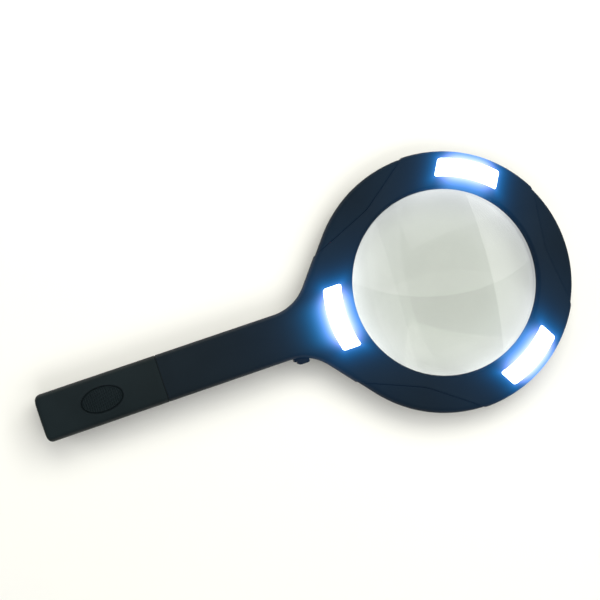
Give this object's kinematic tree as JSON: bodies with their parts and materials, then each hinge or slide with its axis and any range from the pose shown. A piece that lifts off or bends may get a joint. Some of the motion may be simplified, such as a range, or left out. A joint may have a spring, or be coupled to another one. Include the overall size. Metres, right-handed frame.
{
  "type": "low vision magnifier",
  "caption": "Hand held illuminated magnifier with a round lens, lit windows in its rim and a straight battery handle with a sliding cover.",
  "frame": {"origin": "middle of the footprint, on the surface that the magnifier lies on with its lit face up", "axes": "+X from the butt of the handle to the lens, +Z along the lens axis out of the lit face, +Y across the handle away from the slide switch"},
  "size_m": [0.2784, 0.134, 0.023],
  "materials": {
    "shell_plastic": "fine matte texture",
    "grip_plastic": "fine matte texture",
    "knob_plastic": "satin",
    "inner_plastic": "satin",
    "lens_acrylic": "polished",
    "diffuser": "frosted, lit from behind",
    "board_white": "white solder mask",
    "led_phosphor": "silicone coated phosphor",
    "battery_wrap": "printed film",
    "nickel_sheet": "nickel plated",
    "screw_steel": "zinc plated",
    "board_green": "solder mask",
    "resistor_body": "lacquered",
    "wire_red": "insulation",
    "wire_black": "insulation"
  },
  "bodies": {
    "handle": {"front_shell": "shell_plastic", "back_shell": "shell_plastic", "rim_grip_far": "grip_plastic", "rim_grip_upper": "grip_plastic", "rim_grip_lower": "grip_plastic", "lens": "lens_acrylic", "led_window_handle": "diffuser", "led_window_upper": "diffuser", "led_window_lower": "diffuser", "led_board_handle": "board_white", "led_board_upper": "board_white", "led_board_lower": "board_white", "led_strip_handle": "led_phosphor", "led_strip_upper": "led_phosphor", "led_strip_lower": "led_phosphor", "battery_frame": "inner_plastic", "battery_1": "battery_wrap", "battery_2": "battery_wrap", "battery_3": "battery_wrap", "contact_plates": "nickel_sheet", "contact_springs": "nickel_sheet", "circuit_board": "board_green", "resistors": "resistor_body", "switch_body": "nickel_sheet", "case_screws": "screw_steel", "battery_wire_red": "wire_red", "battery_wire_black": "wire_black", "led_wire_red": "wire_red", "led_wire_black": "wire_black"},
    "cover": {"battery_cover": "shell_plastic"},
    "slider": {"switch_knob": "knob_plastic", "switch_lever": "inner_plastic"}
  },
  "joints": [
    {"name": "cover_slide", "type": "slide", "parent": "handle", "child": "cover", "axis": [-1, 0, 0], "range_m": [0, 0.062]},
    {"name": "switch_slide", "type": "slide", "parent": "handle", "child": "slider", "axis": [-1, 0, 0], "range_m": [0, 0.003]}
  ]
}
